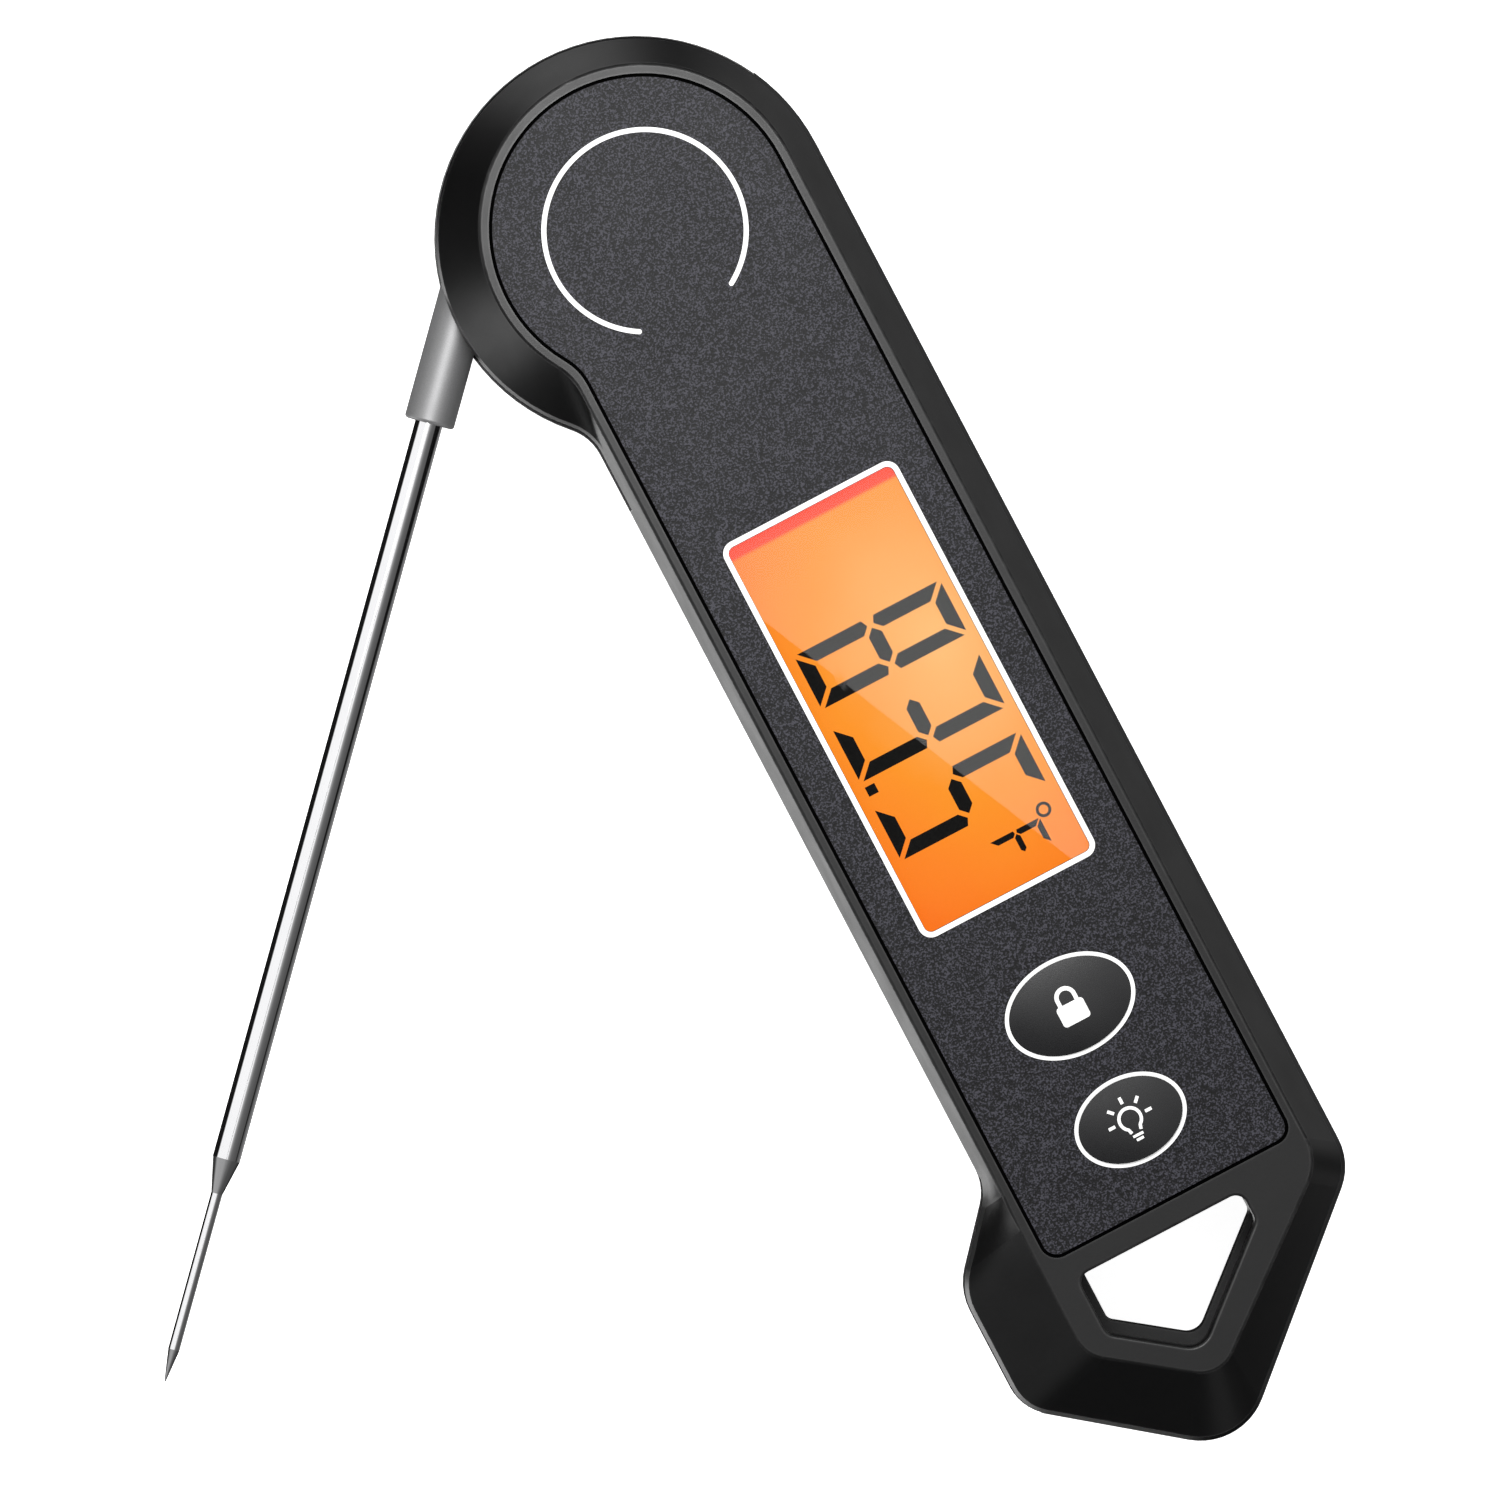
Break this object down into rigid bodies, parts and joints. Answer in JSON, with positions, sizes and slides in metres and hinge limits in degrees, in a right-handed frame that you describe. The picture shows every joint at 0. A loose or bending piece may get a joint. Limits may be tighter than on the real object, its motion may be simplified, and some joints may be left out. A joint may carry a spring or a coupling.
{
  "type": "folding probe thermometer",
  "caption": "Pocket kitchen thermometer: a slim casing with a lit display, oval keys and a hang hole, and a thin steel probe that folds out from its round head.",
  "frame": {"origin": "where the probe hinge axis meets the flat back", "axes": "+Z out of the face, along the hinge axis; +Y from the tail to the head; +X to the right as the face is read with its head up"},
  "size_m": [0.1131, 0.1509, 0.0203],
  "materials": {
    "casing_black": "fine moulded texture",
    "hub_black": "smooth moulded acetal",
    "overlay_charcoal": "fine sand grain",
    "clear_lens": "clear, polished",
    "lcd_glass": "display glass lit from behind",
    "backlight_amber": "lit amber light guide",
    "frame_white": "moulded",
    "print_white": "screen-printed ink",
    "lcd_ink": "dark display segments",
    "gap_black": "matt adhesive foam",
    "silicone_black": "matt silicone",
    "key_black": "domed satin key",
    "switch_black": "moulded",
    "board_green": "solder resist",
    "chip_black": "epoxy",
    "glass_tube": "clear tube",
    "battery_sleeve": "printed sleeve",
    "spring_steel": "nickel plated",
    "screw_steel": "zinc plated",
    "nickel_plate": "bright nickel plate",
    "collar_satin": "satin",
    "probe_steel": "mirror polished stainless steel",
    "sensor_bead": "epoxy coated bead",
    "lead_white": "wire insulation"
  },
  "bodies": {
    "casing": {"back_magnets": "nickel_plate", "backlight_lamps": "frame_white", "backlight_panel": "backlight_amber", "battery_cell": "battery_sleeve", "battery_door": "casing_black", "battery_spring": "spring_steel", "board_lead": "lead_white", "case_screws": "screw_steel", "case_seal": "silicone_black", "circuit_board": "board_green", "controller_chip": "chip_black", "display_frame": "frame_white", "display_lens": "clear_lens", "door_screw": "screw_steel", "door_seal": "silicone_black", "face_overlay": "overlay_charcoal", "friction_washer": "spring_steel", "front_shell": "casing_black", "hub_axle": "screw_steel", "lcd_connector": "silicone_black", "lcd_glass": "lcd_glass", "light_switch": "switch_black", "lock_switch": "switch_black", "negative_contact": "spring_steel", "positive_contact": "spring_steel", "rear_shell": "casing_black", "wake_switch": "glass_tube"},
    "probe": {"hub_rear_half": "hub_black", "hub_front_half": "hub_black", "hub_magnet": "nickel_plate", "axle_o_rings": "silicone_black", "probe_collar": "collar_satin", "probe_shaft": "probe_steel", "probe_tip": "probe_steel", "temperature_sensor": "sensor_bead", "probe_lead": "lead_white"},
    "lock_key": {"lock_button": "key_black", "lock_plunger": "switch_black"},
    "light_key": {"light_button": "key_black", "light_plunger": "switch_black"}
  },
  "joints": [
    {"name": "probe_fold", "type": "hinge", "parent": "casing", "child": "probe", "pos_m": [0, 0, 0.009], "axis": [0, 0, -1], "range_deg": [-43.1, 136.9]},
    {"name": "lock_press", "type": "slide", "parent": "casing", "child": "lock_key", "axis": [0, 0, -1], "range_m": [0, 0.0004], "stiffness_N_per_m": 3000},
    {"name": "light_press", "type": "slide", "parent": "casing", "child": "light_key", "axis": [0, 0, -1], "range_m": [0, 0.0004], "stiffness_N_per_m": 3000}
  ]
}
